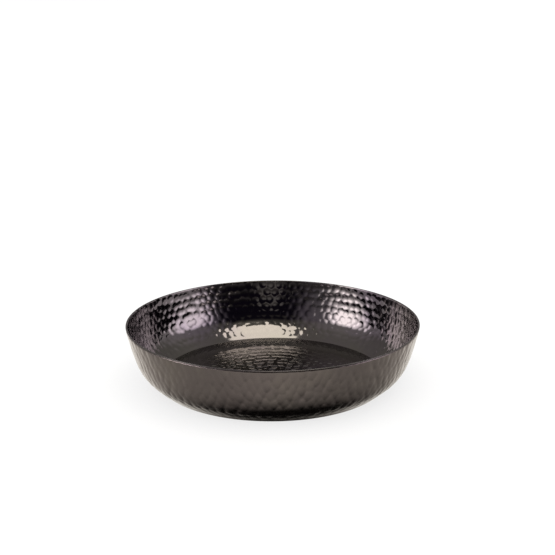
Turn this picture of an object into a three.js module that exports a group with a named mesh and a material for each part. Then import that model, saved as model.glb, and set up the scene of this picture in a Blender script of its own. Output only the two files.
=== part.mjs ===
// A shallow hammered copper bowl with a dark metal lining.
//
// Two thin sheets are nested one inside the other. The copper shell is the outside, and stands on the
// table. The lining is the inside, and its edge is turned outwards over the shell's edge, so the
// lining's lip is the rim that shows. Both sheets are surfaces of revolution about +Z. The origin is
// the middle of the flat bottom, on the table.

import * as THREE from "three";

// Driving dimensions, in millimetres and degrees.
const RIM_RADIUS = 140; // outside of the rim
const HEIGHT = 58; // table to the top of the rim
const BOTTOM_RADIUS = 110.3; // where the bottom and the wall would meet if the corner were sharp
const CORNER_RADIUS = 4; // outside bend between the bottom and the wall
const SHELL_SHEET = 0.6; // thickness of the copper
const LINER_SHEET = 0.6; // thickness of the lining
const SOLDER_GAP = 0.3; // room for the solder between the two sheets
const LIP_BEND = 0.6; // inside radius where the lining turns out over the shell's edge

// The wall leaves the bottom at CORNER_SLOPE above the horizontal, and reaches the rim leaning
// RIM_LEAN out of the vertical. The two pulls say how far it keeps each of those directions.
const CORNER_SLOPE = THREE.MathUtils.degToRad(41.5);
const RIM_LEAN = THREE.MathUtils.degToRad(13.3);
const CORNER_PULL = 22.5;
const RIM_PULL = 44;

// How finely the curves are cut into flat faces.
const STEPS_AROUND = 64;
const WALL_STEPS = 9;
const CORNER_STEPS = 3;
const LIP_STEPS = 3;

const QUARTER_TURN = Math.PI / 2;

// Worked out from the dimensions above.
const FLAT_RADIUS = BOTTOM_RADIUS - CORNER_RADIUS * Math.tan(CORNER_SLOPE / 2);
const SHELL_TOP = HEIGHT - LINER_SHEET - SOLDER_GAP;

function arc(centre, radius, from, to, steps) {
  const points = [];
  for (let i = 0; i <= steps; i++) {
    const angle = from + ((to - from) * i) / steps;
    const spoke = new THREE.Vector2(Math.cos(angle), Math.sin(angle));
    points.push(centre.clone().addScaledVector(spoke, radius));
  }
  return points;
}

// The outside of the wall, from the end of the corner bend up to the rim.
function wallCurve() {
  const foot = new THREE.Vector2(
    FLAT_RADIUS + CORNER_RADIUS * Math.sin(CORNER_SLOPE),
    CORNER_RADIUS * (1 - Math.cos(CORNER_SLOPE)),
  );
  const rim = new THREE.Vector2(RIM_RADIUS, HEIGHT);
  const upFromFoot = new THREE.Vector2(Math.cos(CORNER_SLOPE), Math.sin(CORNER_SLOPE));
  const downFromRim = new THREE.Vector2(-Math.sin(RIM_LEAN), -Math.cos(RIM_LEAN));
  return new THREE.CubicBezierCurve(
    foot,
    foot.clone().addScaledVector(upFromFoot, CORNER_PULL),
    rim.clone().addScaledVector(downFromRim, RIM_PULL),
    rim,
  );
}

// Cuts a rising line of points off level at height top.
function cutLevel(points, top) {
  const kept = points.filter((point) => point.y < top);
  const below = kept.at(-1);
  const above = points[kept.length];
  const share = (top - below.y) / (above.y - below.y);
  return [...kept, below.clone().lerp(above, share)];
}

// The line at a depth inside the bowl's outer surface, from the axis out and up to height top.
function sectionLine(depth, top) {
  const bendCentre = new THREE.Vector2(FLAT_RADIUS, CORNER_RADIUS);
  const bendEnd = CORNER_SLOPE - QUARTER_TURN;
  const bend = arc(bendCentre, CORNER_RADIUS - depth, -QUARTER_TURN, bendEnd, CORNER_STEPS);
  const curve = wallCurve();
  const wall = [];
  for (let i = 1; i <= WALL_STEPS; i++) {
    const along = curve.getTangent(i / WALL_STEPS);
    const inwards = new THREE.Vector2(-along.y, along.x);
    wall.push(curve.getPoint(i / WALL_STEPS).addScaledVector(inwards, depth));
  }
  return [new THREE.Vector2(0, depth), ...bend, ...cutLevel(wall, top)];
}

// The copper: a plain sheet, trimmed level just below the lining's lip.
function shellProfile() {
  const outside = sectionLine(0, SHELL_TOP);
  const inside = sectionLine(SHELL_SHEET, SHELL_TOP);
  return [...outside, ...inside.reverse()];
}

// The lining: up its back, out under the lip, round the lip's edge, and down the inside.
function linerProfile() {
  const backDepth = SHELL_SHEET + SOLDER_GAP;
  const back = sectionLine(backDepth, HEIGHT - LINER_SHEET);

  const halfSheet = LINER_SHEET / 2;
  const edgeCentre = new THREE.Vector2(RIM_RADIUS - halfSheet, HEIGHT - halfSheet);
  const edge = arc(edgeCentre, halfSheet, -QUARTER_TURN, QUARTER_TURN, 2 * LIP_STEPS);

  const bendFoot = HEIGHT - LIP_BEND + LIP_BEND * Math.sin(RIM_LEAN);
  const inside = sectionLine(backDepth + LINER_SHEET, bendFoot);
  const bendCentre = new THREE.Vector2(
    inside.at(-1).x + LIP_BEND * Math.cos(RIM_LEAN),
    HEIGHT - LIP_BEND,
  );
  const bend = arc(bendCentre, LIP_BEND, QUARTER_TURN, Math.PI - RIM_LEAN, LIP_STEPS);

  return [...back, ...edge, ...bend.slice(0, -1), ...inside.reverse()];
}

function turnedSheet(name, profile, material) {
  const sheet = new THREE.Mesh(new THREE.LatheGeometry(profile, STEPS_AROUND), material);
  sheet.name = name;
  sheet.rotation.x = QUARTER_TURN; // LatheGeometry turns about Y, and the bowl's axis is Z
  return sheet;
}

function copper() {
  return new THREE.MeshStandardMaterial({ color: 0x6b5d55, roughness: 0.42, metalness: 1 });
}

function darkLining() {
  return new THREE.MeshStandardMaterial({ color: 0x3a3338, roughness: 0.18, metalness: 1 });
}

const bowl = new THREE.Group();
bowl.add(turnedSheet("outer_shell", shellProfile(), copper()));
bowl.add(turnedSheet("inner_liner", linerProfile(), darkLining()));

export default bowl;
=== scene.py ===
"""A shallow hammered copper bowl with a dark polished lining, on a pale floor in soft studio light.

The two sheets of the CAD model, outer_shell and inner_liner, are replaced by meshes of the same
sections that also carry the hammer marks. Lengths are in metres and +Z is up.
"""
import math

import bpy
import numpy as np
from mathutils import Matrix, Vector
from mathutils.kdtree import KDTree


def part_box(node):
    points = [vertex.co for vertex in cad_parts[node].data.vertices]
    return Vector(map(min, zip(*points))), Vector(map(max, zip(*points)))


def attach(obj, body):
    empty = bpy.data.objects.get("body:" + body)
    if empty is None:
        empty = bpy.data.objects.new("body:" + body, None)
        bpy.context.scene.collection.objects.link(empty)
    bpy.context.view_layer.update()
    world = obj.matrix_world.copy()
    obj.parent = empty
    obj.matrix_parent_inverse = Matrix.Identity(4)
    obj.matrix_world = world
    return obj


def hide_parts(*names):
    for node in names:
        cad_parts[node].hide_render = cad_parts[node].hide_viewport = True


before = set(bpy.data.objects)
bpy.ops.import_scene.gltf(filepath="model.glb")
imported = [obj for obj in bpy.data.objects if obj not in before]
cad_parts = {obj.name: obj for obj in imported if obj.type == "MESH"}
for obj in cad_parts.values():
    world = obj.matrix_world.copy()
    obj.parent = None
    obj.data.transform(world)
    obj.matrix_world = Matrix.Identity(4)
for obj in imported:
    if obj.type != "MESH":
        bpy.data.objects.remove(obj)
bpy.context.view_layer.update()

MM = 0.001

# The section of the bowl. The outer sizes come from the frame, and the rest are the sheet's own.
SHELL_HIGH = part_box("outer_shell")[1]
LINER_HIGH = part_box("inner_liner")[1]
RIM_RADIUS = LINER_HIGH[0]
HEIGHT = LINER_HIGH[2]
SHELL_TOP = SHELL_HIGH[2]
BOTTOM_RADIUS = 110.3 * MM
CORNER_RADIUS = 4 * MM
CORNER_SLOPE = math.radians(41.5)
RIM_LEAN = math.radians(13.3)
CORNER_PULL = 22.5 * MM
RIM_PULL = 44 * MM
SHEET = 0.6 * MM
SOLDER_GAP = 0.3 * MM
LIP_BEND = 0.6 * MM
FLAT_RADIUS = BOTTOM_RADIUS - CORNER_RADIUS * math.tan(CORNER_SLOPE / 2)

# How fine the meshes are: an edge is a triangle's length round the bowl, and a step its length along
# the section. A step of 0.87 of the edge makes nearly equilateral triangles.
MARKED_EDGE = 1.12 * MM
MARKED_STEP = MARKED_EDGE * 0.87
UNDERSIDE_EDGE = 2.4 * MM
UNDERSIDE_STEP = UNDERSIDE_EDGE * 0.87
LIP_EDGE = 1.5 * MM
LIP_BEND_STEP = 0.2 * MM
LIP_FLAT_STEP = 0.4 * MM
LIP_ROUND_STEP = 0.16 * MM
SHELL_TOP_STEP = 0.3 * MM
INSIDE_BEND_STEP = 0.45 * MM
OUTSIDE_BEND_STEP = 0.5 * MM
HIDDEN_EDGE = 7 * MM
HIDDEN_BEND_STEP = 1.5 * MM

# What the hammer left on a ring of points: nothing, marks, or marks that were flattened afterwards.
PLAIN, MARKED, FLATTENED = 0, 1, -1

QUARTER_TURN = math.pi / 2


# ---------------------------------------------------------------------------------------------
# Sections
# ---------------------------------------------------------------------------------------------

def arc(centre, radius, start, end, steps=24):
    """Points (r, z) round a centre, from one angle to another."""
    angles = np.linspace(start, end, steps + 1)
    return np.array(centre) + radius * np.column_stack([np.cos(angles), np.sin(angles)])


def straight(start, end):
    return np.array([start, end], dtype=float)


def wall_line(depth, top, steps=240):
    """The wall at a depth inside the bowl's outer surface, from the corner bend up to height top.

    The outer surface is a cubic curve from the bend to the rim, and deeper ones are offsets of it.
    """
    foot = np.array([
        FLAT_RADIUS + CORNER_RADIUS * math.sin(CORNER_SLOPE),
        CORNER_RADIUS * (1 - math.cos(CORNER_SLOPE)),
    ])
    rim = np.array([RIM_RADIUS, HEIGHT])
    low = foot + CORNER_PULL * np.array([math.cos(CORNER_SLOPE), math.sin(CORNER_SLOPE)])
    high = rim - RIM_PULL * np.array([math.sin(RIM_LEAN), math.cos(RIM_LEAN)])
    t = np.linspace(0, 1, steps + 1)[:, None]
    u = 1 - t
    points = u**3 * foot + 3 * u**2 * t * low + 3 * u * t**2 * high + t**3 * rim
    along = 3 * u**2 * (low - foot) + 6 * u * t * (high - low) + 3 * t**2 * (rim - high)
    along /= np.linalg.norm(along, axis=1)[:, None]
    points += depth * np.column_stack([-along[:, 1], along[:, 0]])
    below = points[points[:, 1] < top]
    last = np.array([np.interp(top, points[:, 1], points[:, 0]), top])
    return np.vstack([below, last])


def bend_line(depth):
    """The bend between the bottom and the wall, at a depth inside the bowl's outer surface."""
    centre = (FLAT_RADIUS, CORNER_RADIUS)
    return arc(centre, CORNER_RADIUS - depth, -QUARTER_TURN, CORNER_SLOPE - QUARTER_TURN)


def floor_line(depth):
    return straight((0, depth), (FLAT_RADIUS, depth))


def lengths_along(line):
    """The distance of each point of a line from its start."""
    return np.concatenate([[0], np.cumsum(np.linalg.norm(np.diff(line, axis=0), axis=1))])


# ---------------------------------------------------------------------------------------------
# Rings: a section cut into steps, each turned into a ring of points round the axis
# ---------------------------------------------------------------------------------------------

ON_AXIS = 1e-9  # a radius under this is a single point
FEWEST_ROUND = 8


class Rings:
    """Rings of one turned surface, from the axis out and back to the axis."""

    def __init__(self):
        self.radius, self.height, self.edge, self.marked = [], [], [], []

    def add(self, line, step, edge, marked=PLAIN):
        """Cuts a line of (r, z) points into steps. A ring that repeats the last one is left out."""
        lengths = lengths_along(line)
        count = max(1, round(lengths[-1] / step))
        places = np.linspace(0, lengths[-1], count + 1)
        r = np.interp(places, lengths, line[:, 0])
        z = np.interp(places, lengths, line[:, 1])
        skip = 1 if self.radius else 0
        self.radius.extend(r[skip:])
        self.height.extend(z[skip:])
        self.edge.extend([edge] * (len(r) - skip))
        self.marked.extend([marked] * (len(r) - skip))

    def mesh(self):
        """(points, normals, marked, triangles), with normals out of the metal.

        Each ring has as many points as its edge length asks for, or one at the axis.
        """
        r, z = np.array(self.radius), np.array(self.height)
        along = np.gradient(np.column_stack([r, z]), axis=0)
        along /= np.linalg.norm(along, axis=1)[:, None]
        counts = [
            1 if radius < ON_AXIS else max(FEWEST_ROUND, round(2 * math.pi * radius / edge))
            for radius, edge in zip(self.radius, self.edge)
        ]
        points, normals, marked, turns = [], [], [], []
        for k, count in enumerate(counts):
            turn = (np.arange(count) + 0.5 * (k % 2)) / count
            angle = 2 * math.pi * turn
            cos, sin = np.cos(angle), np.sin(angle)
            points.append(np.column_stack([r[k] * cos, r[k] * sin, np.full(count, z[k])]))
            out_r, out_z = -along[k, 1], along[k, 0]
            normals.append(np.column_stack([out_r * cos, out_r * sin, np.full(count, out_z)]))
            marked.append(np.full(count, self.marked[k]))
            turns.append(turn)
        starts = np.concatenate([[0], np.cumsum(counts)])
        triangles = [
            zipped(turns[k], turns[k + 1], starts[k], starts[k + 1])
            for k in range(len(counts) - 1)
        ]
        return np.vstack(points), np.vstack(normals), np.concatenate(marked), np.vstack(triangles)


def zipped(turn_a, turn_b, start_a, start_b):
    """The triangles between two rings whose points stand at these shares of a turn."""
    triangles = []
    count_a, count_b = len(turn_a), len(turn_b)
    middle_a = turn_a + 0.5 / count_a
    middle_b = turn_b + 0.5 / count_b
    if count_b > 1:
        edge = np.arange(count_b)
        met = np.searchsorted(middle_a, middle_b, side="right") % count_a
        triangles.append(np.column_stack([
            start_a + met, start_b + edge, start_b + (edge + 1) % count_b,
        ]))
    if count_a > 1:
        edge = np.arange(count_a)
        met = np.searchsorted(middle_b, middle_a, side="left") % count_b
        triangles.append(np.column_stack([
            start_a + edge, start_b + met, start_a + (edge + 1) % count_a,
        ]))
    return np.vstack(triangles)


# ---------------------------------------------------------------------------------------------
# Hammer marks
# ---------------------------------------------------------------------------------------------

FIRST_ROW = 5.4 * MM  # from the rim to the middle of the first row
ROW_PITCH = 7.4 * MM
ROW_COUNT = 8
ROWS_ALIKE = 3  # rows that have the same number of marks, each row set half a mark round from the last
RING_PITCH = 8.2 * MM
RINGS_ALIKE = 2
FLOOR_MARGIN = 29 * MM  # from the crease to the middle of the first ring
MARK_PITCH = 7.9 * MM
MARK_RADIUS = 4.1 * MM
WALL_MARK_DEPTH = 0.25 * MM
LOW_ROWS_SOFTER = 0.05  # how much shallower the lowest row is than the highest
FLOOR_MARK_DEPTH = 0.35 * MM
MARK_STEEPNESS = 2.6  # 2 is a round hollow, and more is a flatter one with a steeper edge
NEAREST_MARKS = 4  # how many marks can shape one point
SEED = 41

# How uneven hand hammering is.
WANDER_ALONG = 0.15  # along a row, as a share of the distance between marks
WANDER_ON_WALL = 0.9 * MM  # across a row
WANDER_ON_FLOOR = 0.12 * MM  # across a ring
DEPTH_SPREAD = (0.75, 1.25)
REACH_SPREAD = (0.93, 1.1)

# The ridges between the marks are rounded over these lengths.
INSIDE_SOFTNESS = 0.014 * MM
OUTSIDE_SOFTNESS = 0.02 * MM

OUTSIDE_TALLNESS = 2.0  # how much longer up the wall than round it a mark is outside
OUTSIDE_PUSH = 1.3  # how far a mark stands out of the outer wall, as a share of its depth inside
UNDERSIDE_DENT = 0.3  # the same for how far it goes into the bottom
OUTSIDE_FADE = 12 * MM  # under this height the outer wall's marks fade towards the bottom


def mark_places(depth, rng):
    """(centre, mark depth) of each mark on the surface at a depth inside the bowl's outer surface."""
    wall = wall_line(depth, HEIGHT)[::-1]
    lengths = lengths_along(wall)
    places = []

    def row_of_marks(row, alike, point_at, middle, mark_depth, wander):
        """One row round the bowl. Rows come in groups that are alike, with the same count of marks."""
        first_alike = row - row % alike
        count = round(2 * math.pi * point_at(middle(first_alike + alike / 2))[0] / MARK_PITCH)
        # Every second row starts half a mark round, and each group by a share of a mark of its own.
        start = 0.5 * (row % 2) + first_alike / 7
        for i in range(count):
            angle = 2 * math.pi * (i + start + rng.normal(0, WANDER_ALONG)) / count
            r, z = point_at(middle(row) + rng.normal(0, wander))
            centre = (r * math.cos(angle), r * math.sin(angle), z)
            places.append((centre, mark_depth * rng.uniform(*DEPTH_SPREAD)))

    def on_wall(down):
        return float(np.interp(down, lengths, wall[:, 0])), float(np.interp(down, lengths, wall[:, 1]))

    def on_floor(inwards):
        return max(FLAT_RADIUS - inwards, RING_PITCH / 2), depth

    def row_middle(row):
        return FIRST_ROW + row * ROW_PITCH

    def ring_middle(ring):
        return FLOOR_MARGIN + ring * RING_PITCH

    for row in range(ROW_COUNT):
        mark_depth = WALL_MARK_DEPTH * (1 - LOW_ROWS_SOFTER * (row / (ROW_COUNT - 1)) ** 2)
        row_of_marks(row, ROWS_ALIKE, on_wall, row_middle, mark_depth, WANDER_ON_WALL)
    for ring in range(int((FLAT_RADIUS - FLOOR_MARGIN) / RING_PITCH)):
        row_of_marks(ring, RINGS_ALIKE, on_floor, ring_middle, FLOOR_MARK_DEPTH, WANDER_ON_FLOOR)
    places.append(((0, 0, depth), FLOOR_MARK_DEPTH))
    return places


def mark_depths(points, chosen, places, softness, tallness, rng):
    """How deep the hammer went at each chosen point, with ridges rounded over a softness.

    A tallness over 1 draws the marks out up and down the wall. Where marks overlap the deepest
    counts, by a soft maximum of the nearest ones and of 0, which is the unmarked surface.
    """
    squeeze = np.array([1, 1, 1 / tallness])
    points = points * squeeze
    tree = KDTree(len(places))
    for i, (centre, _) in enumerate(places):
        tree.insert(centre * squeeze, i)
    tree.balance()
    reach = MARK_RADIUS * rng.uniform(*REACH_SPREAD, len(places))
    depths = np.zeros(len(points))
    for i in np.flatnonzero(chosen):
        total = 1.0
        for _, mark, distance in tree.find_n(points[i], NEAREST_MARKS):
            cut = places[mark][1] * (1 - (distance / reach[mark]) ** MARK_STEEPNESS)
            total += math.exp(cut / softness)
        depths[i] = softness * math.log(total)
    return depths


# ---------------------------------------------------------------------------------------------
# The two sheets
# ---------------------------------------------------------------------------------------------

def mesh_object(name, points, triangles, material):
    """A smooth-shaded object from arrays of points and of triangles."""
    mesh = bpy.data.meshes.new(name)
    mesh.vertices.add(len(points))
    mesh.vertices.foreach_set("co", points.astype(np.float32).ravel())
    mesh.loops.add(3 * len(triangles))
    mesh.loops.foreach_set("vertex_index", triangles.astype(np.int32).ravel())
    mesh.polygons.add(len(triangles))
    mesh.polygons.foreach_set("loop_start", np.arange(0, 3 * len(triangles), 3, dtype=np.int32))
    mesh.polygons.foreach_set("use_smooth", np.ones(len(triangles), dtype=bool))
    mesh.update()
    mesh.validate()
    mesh.materials.append(material)
    piece = bpy.data.objects.new(name, mesh)
    bpy.context.scene.collection.objects.link(piece)
    return piece


def make_liner(material):
    """The lining: marked floor and wall, then the lip turned outwards over the shell, then the back."""
    rng = np.random.default_rng(SEED)
    front = 2 * SHEET + SOLDER_GAP
    back = SHEET + SOLDER_GAP
    bend_foot = HEIGHT - LIP_BEND + LIP_BEND * math.sin(RIM_LEAN)
    wall = wall_line(front, bend_foot)
    bend_centre = (wall[-1, 0] + LIP_BEND * math.cos(RIM_LEAN), HEIGHT - LIP_BEND)
    half = SHEET / 2
    edge_centre = (RIM_RADIUS - half, HEIGHT - half)
    behind = wall_line(back, HEIGHT - SHEET)

    rings = Rings()
    rings.add(floor_line(front), MARKED_STEP, MARKED_EDGE, MARKED)
    rings.add(bend_line(front), INSIDE_BEND_STEP, MARKED_EDGE, MARKED)
    rings.add(wall, MARKED_STEP, MARKED_EDGE, MARKED)
    rings.add(arc(bend_centre, LIP_BEND, math.pi - RIM_LEAN, QUARTER_TURN), LIP_BEND_STEP, LIP_EDGE)
    rings.add(straight((bend_centre[0], HEIGHT), (edge_centre[0], HEIGHT)), LIP_FLAT_STEP, LIP_EDGE)
    rings.add(arc(edge_centre, half, QUARTER_TURN, -QUARTER_TURN), LIP_ROUND_STEP, LIP_EDGE)
    rings.add(straight((edge_centre[0], HEIGHT - SHEET), behind[-1]), HIDDEN_EDGE, LIP_EDGE)
    rings.add(behind[::-1], HIDDEN_EDGE, HIDDEN_EDGE)
    rings.add(bend_line(back)[::-1], HIDDEN_BEND_STEP, HIDDEN_EDGE)
    rings.add(floor_line(back)[::-1], HIDDEN_EDGE, HIDDEN_EDGE)
    points, normals, marked, triangles = rings.mesh()

    depths = mark_depths(points, marked == MARKED, mark_places(front, rng), INSIDE_SOFTNESS, 1, rng)
    points = points - normals * depths[:, None]
    return mesh_object("bowl_lining", points, triangles, material)


def make_shell(material):
    """The shell: its hidden inner face up to the lip, then the marked outer wall and the bottom."""
    rng = np.random.default_rng(SEED)
    behind = wall_line(SHEET, SHELL_TOP)
    outside = wall_line(0, SHELL_TOP)

    rings = Rings()
    rings.add(floor_line(SHEET), HIDDEN_EDGE, HIDDEN_EDGE)
    rings.add(bend_line(SHEET), HIDDEN_BEND_STEP, HIDDEN_EDGE)
    rings.add(behind, HIDDEN_EDGE, HIDDEN_EDGE)
    rings.add(straight(behind[-1], outside[-1]), SHELL_TOP_STEP, LIP_EDGE)
    rings.add(outside[::-1], MARKED_STEP, MARKED_EDGE, MARKED)
    rings.add(bend_line(0)[::-1], OUTSIDE_BEND_STEP, MARKED_EDGE, MARKED)
    rings.add(floor_line(0)[::-1], UNDERSIDE_STEP, UNDERSIDE_EDGE, FLATTENED)
    points, normals, marked, triangles = rings.mesh()

    # Struck from inside, each mark stands out on the wall. The bottom was flattened afterwards.
    places = mark_places(0, rng)
    depths = mark_depths(points, marked != PLAIN, places, OUTSIDE_SOFTNESS, OUTSIDE_TALLNESS, rng)
    fade = np.clip(points[:, 2] / OUTSIDE_FADE, 0, 1)
    push = np.where(marked == MARKED, OUTSIDE_PUSH * fade, -UNDERSIDE_DENT)
    points = points + normals * (depths * push)[:, None]
    return mesh_object("bowl_shell", points, triangles, material)


# ---------------------------------------------------------------------------------------------
# Materials
# ---------------------------------------------------------------------------------------------

class Nodes:
    """A short way to add nodes to a material or a world."""

    def __init__(self, tree):
        self.tree = tree

    def add(self, kind, inputs=None, **settings):
        node = self.tree.nodes.new("ShaderNode" + kind)
        for name, value in settings.items():
            setattr(node, name, value)
        for socket, value in (inputs or {}).items():
            if isinstance(value, bpy.types.NodeSocket):
                self.tree.links.new(value, node.inputs[socket])
            else:
                node.inputs[socket].default_value = value
        return node

    def math(self, operation, first, second):
        return self.add("Math", {0: first, 1: second}, operation=operation).outputs[0]

    def vector_math(self, operation, inputs):
        return self.add("VectorMath", inputs, operation=operation).outputs[0]

    def mix(self, factor, first, second):
        node = self.add("Mix", data_type="RGBA")
        for socket, value in (("Factor_Float", factor), ("A_Color", first), ("B_Color", second)):
            target = next(s for s in node.inputs if s.identifier == socket)
            if isinstance(value, bpy.types.NodeSocket):
                self.tree.links.new(value, target)
            else:
                target.default_value = value
        return next(s for s in node.outputs if s.identifier == "Result_Color")

    def ramp(self, factor, stops):
        node = self.add("ValToRGB", {0: factor})
        elements = node.color_ramp.elements
        while len(elements) < len(stops):
            elements.new(0.5)
        for element, (position, color) in zip(elements, stops):
            element.position = position
            element.color = color
        return node.outputs[0]

    def dot(self, vector, direction):
        inputs = {0: vector, 1: direction}
        return self.add("VectorMath", inputs, operation="DOT_PRODUCT").outputs["Value"]

    def glow(self, under, direction, axis, inner, outer, radiance, clear):
        """Adds a soft round light to the colour under it, dimmed where it isn't clear of the horizon.

        It is full within the inner angle, and gone beyond the outer one, both in degrees.
        """
        near = self.add("MapRange", {
            0: self.dot(direction, axis),
            1: math.cos(math.radians(outer)),
            2: math.cos(math.radians(inner)),
        }, interpolation_type="SMOOTHSTEP").outputs[0]
        strength = self.math("MULTIPLY", near, clear)
        light = self.vector_math("SCALE", {0: radiance, "Scale": strength})
        return self.vector_math("ADD", {0: under, 1: light})

    def range(self, value, low, high, to_low, to_high):
        """Turns low..high into to_low..to_high, and holds the ends beyond them."""
        node = self.add("MapRange", {0: value, 1: low, 2: high, 3: to_low, 4: to_high})
        return node.outputs[0]

    def noise(self, coordinates, scale, detail, roughness):
        inputs = {"Vector": coordinates, "Scale": scale, "Detail": detail, "Roughness": roughness}
        return self.add("TexNoise", inputs).outputs[0]


NOISE_LOW, NOISE_HIGH = 0.3, 0.7  # most of a noise lies between these


def new_material(name):
    material = bpy.data.materials.new(name)
    material.use_nodes = True
    shader = material.node_tree.nodes["Principled BSDF"]
    return material, shader


def metal(name, clouds, colors, smears, roughness, grain, bump):
    """A metal with soft clouds of colour, smears in its polish, and a fine grain.

    clouds, smears and grain are each a noise's scale, detail and roughness, and bump is the
    grain's strength and depth.
    """
    material, shader = new_material(name)
    nodes = Nodes(material.node_tree)
    link = material.node_tree.links.new
    place = nodes.add("TexCoord").outputs["Object"]
    link(nodes.ramp(nodes.noise(place, *clouds), colors), shader.inputs["Base Color"])
    polish = nodes.range(nodes.noise(place, *smears), NOISE_LOW, NOISE_HIGH, *roughness)
    link(polish, shader.inputs["Roughness"])
    shader.inputs["Metallic"].default_value = 1
    strength, depth = bump
    height = nodes.noise(place, *grain)
    bumps = nodes.add("Bump", {"Strength": strength, "Distance": depth, "Height": height})
    link(bumps.outputs[0], shader.inputs["Normal"])
    return material


def lining_material():
    colors = [
        (0.35, (0.291, 0.260, 0.291, 1)),
        (0.50, (0.304, 0.285, 0.282, 1)),
        (0.68, (0.309, 0.297, 0.282, 1)),
    ]
    return metal(
        "dark_lining", clouds=(14, 3, 0.5), colors=colors, smears=(60, 4, 0.6),
        roughness=(0.06, 0.11), grain=(900, 3, 0.6), bump=(0.02, 0.3 * MM),
    )


def copper_material():
    colors = [
        (0.33, (0.278, 0.236, 0.237, 1)),
        (0.52, (0.312, 0.270, 0.266, 1)),
        (0.70, (0.342, 0.300, 0.282, 1)),
    ]
    return metal(
        "copper_shell", clouds=(18, 4, 0.6), colors=colors, smears=(90, 4, 0.6),
        roughness=(0.18, 0.25), grain=(1100, 3, 0.6), bump=(0.08, 0.4 * MM),
    )


def floor_material():
    """Pale and matt, and lit a little by itself, so that the bowl's shadow stays faint."""
    material, shader = new_material("pale_floor")
    shader.inputs["Base Color"].default_value = (0.25, 0.25, 0.25, 1)
    shader.inputs["Roughness"].default_value = 0.8
    shader.inputs["Specular IOR Level"].default_value = 0
    shader.inputs["Emission Color"].default_value = (1, 1, 1, 1)
    shader.inputs["Emission Strength"].default_value = 0.75
    return material


# ---------------------------------------------------------------------------------------------
# Studio
# ---------------------------------------------------------------------------------------------

def aimed(azimuth, elevation):
    """A direction. Azimuth 0 is towards the camera's side of the bowl, and 90 is to its right."""
    turn, rise = math.radians(azimuth), math.radians(elevation)
    return (math.sin(turn) * math.cos(rise), -math.cos(turn) * math.cos(rise), math.sin(rise))


# Softboxes: name, azimuth, elevation, distance from the bowl's middle, width and height of the
# panel, its radiance and its colour.
SOFTBOXES = (
    ("left_softbox", -72, 22, 1.5, (0.50, 0.50), 0.85, (1.0, 0.92, 0.93)),
    ("right_softbox", 78, 17, 1.5, (0.50, 0.46), 0.15, (1.0, 0.92, 0.97)),
    ("top_softbox", 41.2, 80.4, 1.40, (1.00, 0.77), 1.9, (1.0, 0.93, 0.80)),
)

# Soft glows round the lights and by the camera: azimuth, elevation, the angles within which each is
# full and beyond which it is gone, and radiance.
GLOWS = (
    (-72, 18, 4, 26, (2.05, 1.88, 1.92)),
    (-67, 20, 20, 50, (0.17, 0.153, 0.17)),
    (80, 12, 3, 27, (1.60, 1.43, 1.57)),
    (86, 19, 20, 43, (0.14, 0.124, 0.145)),
    (2, 6, 2, 14, (0.27, 0.254, 0.238)),
    (28, 64, 6, 18, (0.133, 0.123, 0.10)),
)

# What the bowl mirrors from above the horizon, by the direction's height: on the camera's side of
# the studio, and behind the bowl.
FRONT_SKY = (
    (0.00, (0.075, 0.069, 0.070, 1)),
    (0.08, (0.050, 0.045, 0.048, 1)),
    (0.18, (0.013, 0.012, 0.013, 1)),
    (0.28, (0.007, 0.005, 0.011, 1)),
    (0.60, (0.010, 0.008, 0.013, 1)),
    (0.75, (0.073, 0.067, 0.060, 1)),
    (1.00, (0.147, 0.140, 0.120, 1)),
)
BACK_SKY = (
    (0.00, (0.600, 0.547, 0.573, 1)),
    (0.14, (0.350, 0.320, 0.330, 1)),
    (0.34, (0.153, 0.143, 0.137, 1)),
    (0.80, (0.207, 0.197, 0.177, 1)),
    (0.94, (0.240, 0.227, 0.207, 1)),
)

# What it mirrors from below the horizon: the table, by how far back the direction points, from the
# camera's side (0) to straight back (1).
TABLE = (
    (0.12, (0.45, 0.430, 0.386, 1)),
    (0.20, (0.37, 0.354, 0.320, 1)),
    (0.32, (0.32, 0.309, 0.278, 1)),
    (0.50, (0.36, 0.347, 0.310, 1)),
    (0.62, (0.40, 0.387, 0.345, 1)),
    (0.73, (0.53, 0.513, 0.460, 1)),
    (0.83, (0.80, 0.773, 0.690, 1)),
    (0.93, (1.25, 1.220, 1.130, 1)),
)

# The shadow that the bowl casts on the table: the share of light left, by the cosine of the angle
# from the shadow's middle.
SHADOW_MIDDLE = aimed(163, -77)
SHADOW = (
    (0.30, 0.85),
    (0.58, 1.00),
    (0.66, 0.88),
    (0.76, 0.58),
    (0.85, 0.34),
    (0.90, 0.16),
    (0.94, 0.01),
)

SKY_ON_MATT = (1.15, 1.15, 1.15, 1)  # what lights the floor, and matt surfaces generally
WHITE = (1, 1, 1, 1)

FLOOR_REACH = 60  # from the bowl to each side of the floor
FLOOR_GAP = 0.02 * MM  # keeps the floor off the bowl's bottom


def make_floor():
    """The pale floor. The bowl mirrors the world's table in its place."""
    mesh = bpy.data.meshes.new("floor")
    signs = ((-1, -1), (1, -1), (1, 1), (-1, 1))
    corners = [(x * FLOOR_REACH, y * FLOOR_REACH, -FLOOR_GAP) for x, y in signs]
    mesh.from_pydata(corners, [], [(0, 1, 2, 3)])
    mesh.materials.append(floor_material())
    floor = bpy.data.objects.new("floor", mesh)
    bpy.context.scene.collection.objects.link(floor)
    floor.visible_glossy = False


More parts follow.
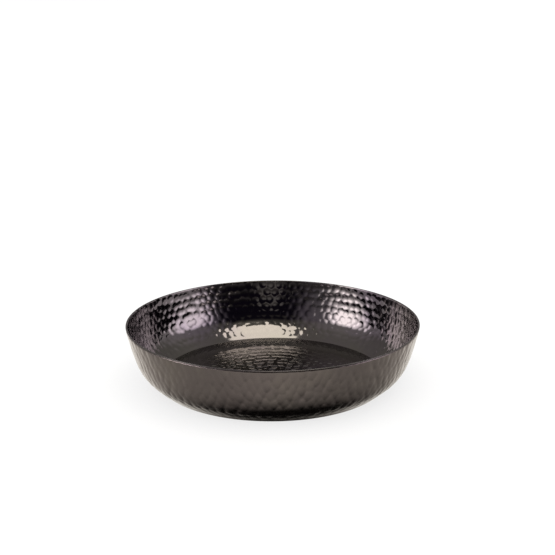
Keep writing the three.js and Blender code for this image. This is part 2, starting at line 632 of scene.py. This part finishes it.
def make_softbox(name, azimuth, elevation, distance, size, radiance, color):
    """An oval area light that faces the bowl's middle, with its width along world X."""
    light = bpy.data.lights.new(name, "AREA")
    light.shape = "ELLIPSE"
    light.size, light.size_y = size
    panel_area = math.pi / 4 * size[0] * size[1]
    light.energy = radiance * math.pi * panel_area
    light.color = color
    box = bpy.data.objects.new(name, light)
    bowl_middle = Vector((0, 0, HEIGHT / 2))
    away = Vector(aimed(azimuth, elevation)).normalized()
    box.location = bowl_middle + away * distance
    across = (Vector((1, 0, 0)) - away.x * away).normalized()
    box.rotation_euler = Matrix((across, away.cross(across), away)).transposed().to_euler()
    bpy.context.scene.collection.objects.link(box)


def sky(nodes, direction, axes):
    """The studio above the horizon, with glows that are faint close to the horizon."""
    front = nodes.ramp(axes["Z"], FRONT_SKY)
    back = nodes.ramp(axes["Z"], BACK_SKY)
    behind = nodes.range(axes["Y"], -0.5, 0.3, 0, 1)
    above = nodes.mix(behind, front, back)
    clear = nodes.range(axes["Z"], 0.10, 0.26, 0.08, 1)
    for azimuth, elevation, inner, outer, radiance in GLOWS:
        above = nodes.glow(above, direction, aimed(azimuth, elevation), inner, outer, radiance, clear)
    return above


def table(nodes, direction, axes):
    """The table below the horizon, with the bowl's shadow on it."""
    lit = nodes.ramp(nodes.range(axes["Y"], -1, 1, 0, 1), TABLE)
    greys = [(nearness, (level, level, level, 1)) for nearness, level in SHADOW]
    shaded = nodes.ramp(nodes.dot(direction, SHADOW_MIDDLE), greys)
    return nodes.vector_math("MULTIPLY", {0: lit, 1: shaded})


def make_world():
    """The studio that the bowl mirrors. The camera sees white, and the floor is lit by a plain sky."""
    world = bpy.data.worlds.new("studio")
    bpy.context.scene.world = world
    world.use_nodes = True
    nodes = Nodes(world.node_tree)
    direction = nodes.add("TexCoord").outputs["Generated"]
    axes = nodes.add("SeparateXYZ", {0: direction}).outputs
    is_below = nodes.math("LESS_THAN", axes["Z"], 0.0)
    mirrored = nodes.mix(is_below, sky(nodes, direction, axes), table(nodes, direction, axes))
    path = nodes.add("LightPath").outputs
    lighting = nodes.mix(path["Is Diffuse Ray"], mirrored, SKY_ON_MATT)
    seen = nodes.mix(path["Is Camera Ray"], lighting, WHITE)
    world.node_tree.links.new(seen, world.node_tree.nodes["Background"].inputs["Color"])


def make_camera():
    """About a metre from the bowl, looking a little down, with the bowl low in the picture."""
    distance = 7.0317 * RIM_RADIUS
    elevation = math.radians(17.803)
    tilt = math.radians(15.482)
    yaw = math.radians(0.2922)
    roll = math.radians(-0.2573)
    aim = Vector((0, 0, HEIGHT + 0.5 * MM))
    back = Vector((0, -math.cos(elevation), math.sin(elevation)))
    forward = Vector((
        math.sin(yaw) * math.cos(tilt), math.cos(yaw) * math.cos(tilt), -math.sin(tilt),
    ))
    level = forward.cross(Vector((0, 0, 1))).normalized()
    upright = level.cross(forward)
    right = math.cos(roll) * level + math.sin(roll) * upright
    up = math.cos(roll) * upright - math.sin(roll) * level
    data = bpy.data.cameras.new("camera")
    data.sensor_width = 36
    data.lens = 66.48
    camera = bpy.data.objects.new("camera", data)
    turned = Matrix((right, up, -forward)).transposed().to_4x4()
    camera.matrix_world = Matrix.Translation(aim + distance * back) @ turned
    bpy.context.scene.collection.objects.link(camera)
    bpy.context.scene.camera = camera


# ---------------------------------------------------------------------------------------------
# The scene
# ---------------------------------------------------------------------------------------------

make_camera()
make_world()
for softbox in SOFTBOXES:
    make_softbox(*softbox)
make_floor()
bpy.context.scene.view_settings.view_transform = "Standard"

lining = make_liner(lining_material())
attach(lining, "root")
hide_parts("inner_liner")

shell = make_shell(copper_material())
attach(shell, "root")
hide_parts("outer_shell")
